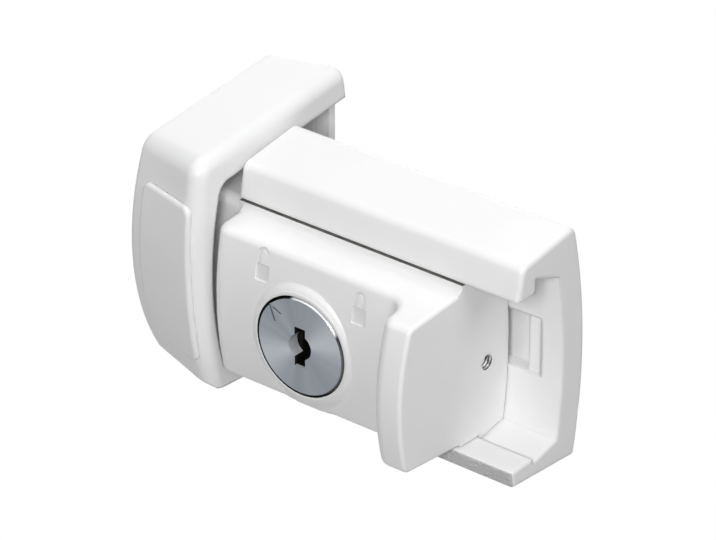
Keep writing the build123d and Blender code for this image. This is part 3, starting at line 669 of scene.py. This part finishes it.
def lower_the_boss(work):
    """Press the lip towards the block, and keep the boss's foot above the block's edge."""
    lip = [
        v for v in work.verts if from_axis(v.co) < LIP_REACH and depth(v.co) < LIP_FOOT_Y
    ]
    foot_plane = Matrix.Translation((0, -LIP_FOOT_Y * MM, 0))
    bmesh.ops.scale(work, vec=(1, LIP_SHARE, 1), space=foot_plane, verts=lip)
    foot = [
        v
        for v in work.verts
        if BOSS_FOOT_INNER < from_axis(v.co) < BOSS_FOOT_OUTER and depth(v.co) < BOSS_FOOT_Y
    ]
    for corner in foot:
        corner.co.z = max(corner.co.z, BOSS_LOW_Z * MM)
    print("boss lip now at", round(min(depth(v.co) for v in lip), 2), "mm")


def raise_the_plate(work):
    """Draw the plate's front out, and widen its rim to meet the boss."""
    front = [v for v in work.verts if depth(v.co) < PLATE_BACK_Y]
    bmesh.ops.translate(work, vec=(0, -PLATE_RISE * MM, 0), verts=front)
    axis = Matrix.Translation((-KEY_X, 0, 0))
    rim = [v for v in work.verts if from_axis(v.co) > PLATE_RIM_INNER]
    growth = (PLATE_GROWTH, 1, PLATE_GROWTH)
    bmesh.ops.scale(work, vec=growth, space=axis, verts=rim)
    print("plate front now at", round(min(depth(v.co) for v in front), 2), "mm")


print("lip keeps", LIP_SHARE, "of its height, plate comes out", PLATE_RISE, "mm")

# %% [markdown]
# ## The line under the rail's lip
# Where the slide's neck runs under the rail's lip, the shade in the narrow gap is painted as a
# thin dark line. The neck's top is one long face, so two bisect cuts mark where the line
# begins and ends, and the strip between them can have its own finish. The cuts don't move
# anything.


# %% Mark the running line
LIP_FRONT_Y = -24.6
RAIL_LEFT_X = -35.5
NECK_FRONT_Y = -27
LEVEL = 0.9


def mark_the_running_line(work):
    """Cut the neck's top where the rail's lip begins and where the rail ends."""
    lip_front = ((0, LIP_FRONT_Y * MM, 0), (0, 1, 0))
    rail_end = ((RAIL_LEFT_X * MM, 0, 0), (1, 0, 0))
    for place, way in (lip_front, rail_end):
        top = [
            f
            for f in work.faces
            if f.normal.z > LEVEL and depth(f.calc_center_median()) > NECK_FRONT_Y
        ]
        geometry = dict.fromkeys(top)
        for face in top:
            geometry.update(dict.fromkeys((*face.edges, *face.verts)))
        bmesh.ops.bisect_plane(work, geom=list(geometry), plane_co=place, plane_no=way)


def shape_the_slide(work):
    """Everything that the slide's copy needs before it is painted."""
    lower_the_boss(work)
    mark_the_running_line(work)


RESHAPES = {"slide_body": shape_the_slide, "face_plate": raise_the_plate}
print("reshaped copies:", ", ".join(RESHAPES))

# %% [markdown]
# ## Faces with a finish of their own
# Some faces of a piece look different from the rest: gaps, walls of holes, sunk marks. They
# could be picked by hand in Edit Mode, but a rule survives a change of the model. Each rule
# below looks at one face, asks how far its corners reach and which way it points, and says
# whether the face belongs to its place. Lengths are in millimetres, and the values named
# for a tilt or a facing are shares of the face's normal along one axis.


# %% Rules for the key's face and its hole
WALL_TILT = 0.25
BEVEL_INNER = 10.5
BEVEL_OUTER = 11.2
BEVEL_TILT = 0.97
RIM_INNER = 10.8
GAP_OUTER = 11.36
GAP_FLOOR_Y = -31.0
HOUSING_END_Y = -30.9
KEYHOLE_REACH = 6
SLOT_TILT = 0.5
SLOT_FLOOR_FACING = 0.8
ROUND_INNER = 2.8
ROUND_OUTER = 3.0
ROUND_TILT = 0.3
KEYWAY_REACH = 5.2


def span(face, measure):
    """The least and greatest value of a measure over a face's corners."""
    values = [measure(corner.co) for corner in face.verts]
    return min(values), max(values)


def in_ring_gap(face):
    """The boss's own wall round the face plate, which gets the painted shade."""
    return span(face, from_axis)[1] < GAP_OUTER and span(face, depth)[1] < GAP_FLOOR_Y


def on_bevel(face):
    """The polished bevel of the face plate."""
    inner, outer = span(face, from_axis)
    tilted = WALL_TILT < abs(face.normal.y) < BEVEL_TILT
    return inner > BEVEL_INNER and outer < BEVEL_OUTER and tilted


def on_plate_rim(face):
    """The face plate's side wall."""
    return span(face, from_axis)[0] > RIM_INNER and abs(face.normal.y) < WALL_TILT


def in_slot_wall(face):
    """The walls of the keyhole's slot, which get the painted shade."""
    return span(face, from_axis)[1] < KEYHOLE_REACH and abs(face.normal.y) < SLOT_TILT


def in_round_wall(face):
    """The dished round in the middle of the keyhole, which gets the painted highlight."""
    inner, outer = span(face, from_axis)
    steep = abs(face.normal.y) < ROUND_TILT
    return inner > ROUND_INNER and outer < ROUND_OUTER and steep


def on_slot_floor(face):
    """The lower end of the slot, which gets the painted highlight."""
    return span(face, from_axis)[1] < KEYHOLE_REACH and face.normal.z > SLOT_FLOOR_FACING


def in_keyway(face):
    """Everything of the plug that shows through the keyhole."""
    return span(face, from_axis)[1] < KEYWAY_REACH


def on_housing_end(face):
    """The sleeve's front end, at the bottom of the ring gap."""
    return span(face, depth)[1] < HOUSING_END_Y


print("ring gap reaches", GAP_OUTER, "mm from the key's axis")


# %% Rules for the slide and the rail
BLOCK_FRONT_Y = -31.8
BLOCK_FRONT_RADIUS = 75.0
BLOCK_MID_Z = 2.0
MARK_LOW_Z = 9.5
MARK_HIGH_Z = 20
MARK_SPANS = ((-24.4, -20.2), (0.5, 4.8))
MARK_HALF_DEPTH = 0.2
MARK_FACING = 0.8
NECK_TOP_Z = 20.8
SLACK = 0.02
SIDE_HOLE_RADIUS = 1.75
SIDE_HOLE_TILT = 0.3
CAST_LIP_Z = -16.2
CAST_LIP_FACING = 0.6
SCREW_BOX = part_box("cylinder_set_screw")
THREAD_Y = (SCREW_BOX[0].y + SCREW_BOX[1].y) / 2
THREAD_Z = (SCREW_BOX[0].z + SCREW_BOX[1].z) / 2


def under_the_lip(face):
    """The neck's top behind the rail's lip, which gets the painted shade."""
    behind = span(face, depth)[0] > LIP_FRONT_Y - SLACK
    beside = span(face, across)[0] > RAIL_LEFT_X - SLACK
    on_top = span(face, height)[0] > NECK_TOP_Z and face.normal.z > LEVEL
    return behind and beside and on_top


def in_mark(face):
    """The sunk floors of the padlocks, which get a painted shade, and not the flat islands
    inside their shackles.
    """
    left, right = span(face, across)
    low, high = span(face, height)
    if low < MARK_LOW_Z or high > MARK_HIGH_Z or abs(face.normal.y) < MARK_FACING:
        return False
    if not any(first < left and right < last for first, last in MARK_SPANS):
        return False
    rise = (low + high) / 2 - BLOCK_MID_Z
    front = BLOCK_FRONT_Y + BLOCK_FRONT_RADIUS - (BLOCK_FRONT_RADIUS**2 - rise**2) ** 0.5
    return sum(span(face, depth)) / 2 > front + MARK_HALF_DEPTH


def from_screw_axis(point):
    """Distance from the side hole's axis, in millimetres."""
    return hypot(point.y - THREAD_Y, point.z - THREAD_Z) / MM


def in_side_hole(face):
    """The wall of the set screw's hole, in the slide's right side, which gets the painted
    shade.
    """
    around = span(face, from_screw_axis)[1] < SIDE_HOLE_RADIUS
    return around and abs(face.normal.x) < SIDE_HOLE_TILT


def on_cast_lip(face):
    """The front of the rail's lower lip, left rough from the mould."""
    return span(face, height)[1] < CAST_LIP_Z and face.normal.y < -CAST_LIP_FACING


print("side hole's axis at height", round(THREAD_Z / MM, 2), "mm")

# %% [markdown]
# ## Which finish goes where
# A piece takes its finish from its material slot in the record. A second table names the
# pieces that differ from it, and a third the faces that do, with the rule that finds them.
# Where two rules find the same face, the later one wins.

# %% List the finishes
SLOT_FINISH = {
    "white_paint": WHITE,
    "zinc_steel": ZINC,
    "spring_steel": SPRING,
    "brass": BRASS,
    "nylon": NYLON,
    "brushed_face": FACE,
}
BASE_FINISH = {
    "rail": WHITE_SOFT,
    "hood": WHITE_SOFT,
    "hood_cap": WHITE_SOFT,
    "hood_base_plate": PLATE_COAT,
    "wafers": KEYWAY_SHADE,
}
PAINTED_FACES = {
    "rail": ((WHITE_CAST, on_cast_lip),),
    "slide_body": (
        (GAP_SHADE, in_ring_gap),
        (WHITE_SHADED_MARK, in_mark),
        (SIDE_HOLE_SHADE, in_side_hole),
        (LIP_GAP_SHADE, under_the_lip),
    ),
    "face_plate": (
        (POLISHED, on_bevel),
        (GAP_SHADE, on_plate_rim),
        (GAP_SHADE, in_slot_wall),
        (KEYHOLE_HIGHLIGHT, in_round_wall),
        (KEYHOLE_HIGHLIGHT, on_slot_floor),
    ),
    "plug": ((KEYWAY_SHADE, in_keyway), (KEYHOLE_HIGHLIGHT, in_round_wall)),
    "cylinder_housing": ((GAP_SHADE, on_housing_end),),
}
slot_of = {s["node"]: s["material_slot"] for s in frame["record"]["subparts"]}
body_of = {n: b for b, ns in frame["record"]["behaviour"]["bodies"].items() for n in ns}
print("painted by face:", ", ".join(PAINTED_FACES))

# %% [markdown]
# ## Smooth the pieces
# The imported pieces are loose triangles. A copy with its doubles merged can be shaded smooth:
# edges that fold by more than a set angle stay sharp, and the Weighted Normal modifier lets
# the large faces keep their own direction, so only the rounded edges blend. Each copy rides
# on its piece's body and replaces it.


# %% Finish every piece
MERGE_DISTANCE = 0.002 * MM
FLAT_ANGLE = radians(0.2)
CREASE_ANGLE = radians(35)
NORMAL_WEIGHT = 60


def merged_copy(node):
    """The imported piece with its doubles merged, reshaped, and its flat faces joined."""
    work = bmesh.new()
    work.from_mesh(frame["nodes"][node].data)
    bmesh.ops.remove_doubles(work, verts=work.verts, dist=MERGE_DISTANCE)
    if node in RESHAPES:
        RESHAPES[node](work)
    bmesh.ops.dissolve_limit(
        work, angle_limit=FLAT_ANGLE, verts=work.verts, edges=work.edges
    )
    return work


def paint_faces(node, work):
    """Give the faces that a rule finds their own slot, and return the slots' finishes."""
    finishes = [BASE_FINISH.get(node, SLOT_FINISH[slot_of[node]])]
    for finish, belongs in PAINTED_FACES.get(node, ()):
        finishes.append(finish)
        picked = [face for face in work.faces if belongs(face)]
        for face in picked:
            face.material_index = len(finishes) - 1
        print(node, finish.name, len(picked), "faces")
    return finishes


def smooth_between_creases(work):
    """Shade the faces smooth and keep the edges that fold sharply."""
    for edge in work.edges:
        joined = len(edge.link_faces) == 2
        edge.smooth = joined and edge.calc_face_angle(0) < CREASE_ANGLE
    for face in work.faces:
        face.smooth = True


def finish_node(node):
    """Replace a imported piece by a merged, smooth-shaded copy of it."""
    work = merged_copy(node)
    finishes = paint_faces(node, work)
    smooth_between_creases(work)
    surface = as_piece(node + "_surface", work, finishes)
    weighted = surface.modifiers.new("weighted", "WEIGHTED_NORMAL")
    weighted.keep_sharp = True
    weighted.weight = NORMAL_WEIGHT
    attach(surface, body_of[node])
    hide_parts(node)
    print(node, len(surface.data.polygons), "faces")


for node in sorted(frame["nodes"]):
    finish_node(node)

# %% [markdown]
# ## The thread in the side hole
# The set screw's hole is tapped, and the photograph shows the first turns of its thread. One
# V-shaped tooth is spun round the hole's axis while it moves along it, which is how a tap
# cuts it. The tooth's foot lies inside the casting, so only the crests stand in the hole.


# %% Cut the thread
THREAD_MOUTH_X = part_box("slide_body")[1].x
THREAD_PITCH = 0.7 * MM
THREAD_FOOT = 1.72 * MM
THREAD_CREST = 1.38 * MM
THREAD_INSET = 0.1 * MM
THREAD_TURNS = 6
STEPS_A_TURN = 48
TOOTH_WIDTH = 0.9 * THREAD_PITCH


def tapped_thread():
    """Spin the tooth into a thread that ends just inside the slide's right side."""
    work = bmesh.new()
    tooth = [
        work.verts.new((0, 0, THREAD_FOOT)),
        work.verts.new((TOOTH_WIDTH / 2, 0, THREAD_CREST)),
        work.verts.new((TOOTH_WIDTH, 0, THREAD_FOOT)),
    ]
    profile = work.faces.new(tooth)
    bmesh.ops.spin(
        work,
        geom=[profile, *profile.edges, *profile.verts],
        cent=(0, 0, 0),
        axis=(1, 0, 0),
        dvec=(THREAD_PITCH / STEPS_A_TURN, 0, 0),
        angle=2 * pi * THREAD_TURNS,
        steps=STEPS_A_TURN * THREAD_TURNS,
    )
    length = THREAD_PITCH * (THREAD_TURNS + 1)
    start = (THREAD_MOUTH_X - length - THREAD_INSET, THREAD_Y, THREAD_Z)
    bmesh.ops.translate(work, vec=start, verts=work.verts)
    bmesh.ops.recalc_face_normals(work, faces=work.faces)
    for face in work.faces:
        face.smooth = False
    thread = as_piece("side_hole_thread", work, [THREAD])
    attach(thread, body_of["slide_body"])
    faces = len(thread.data.polygons)
    print("thread starts at", round(start[0] / MM, 2), "mm,", faces, "faces")


tapped_thread()
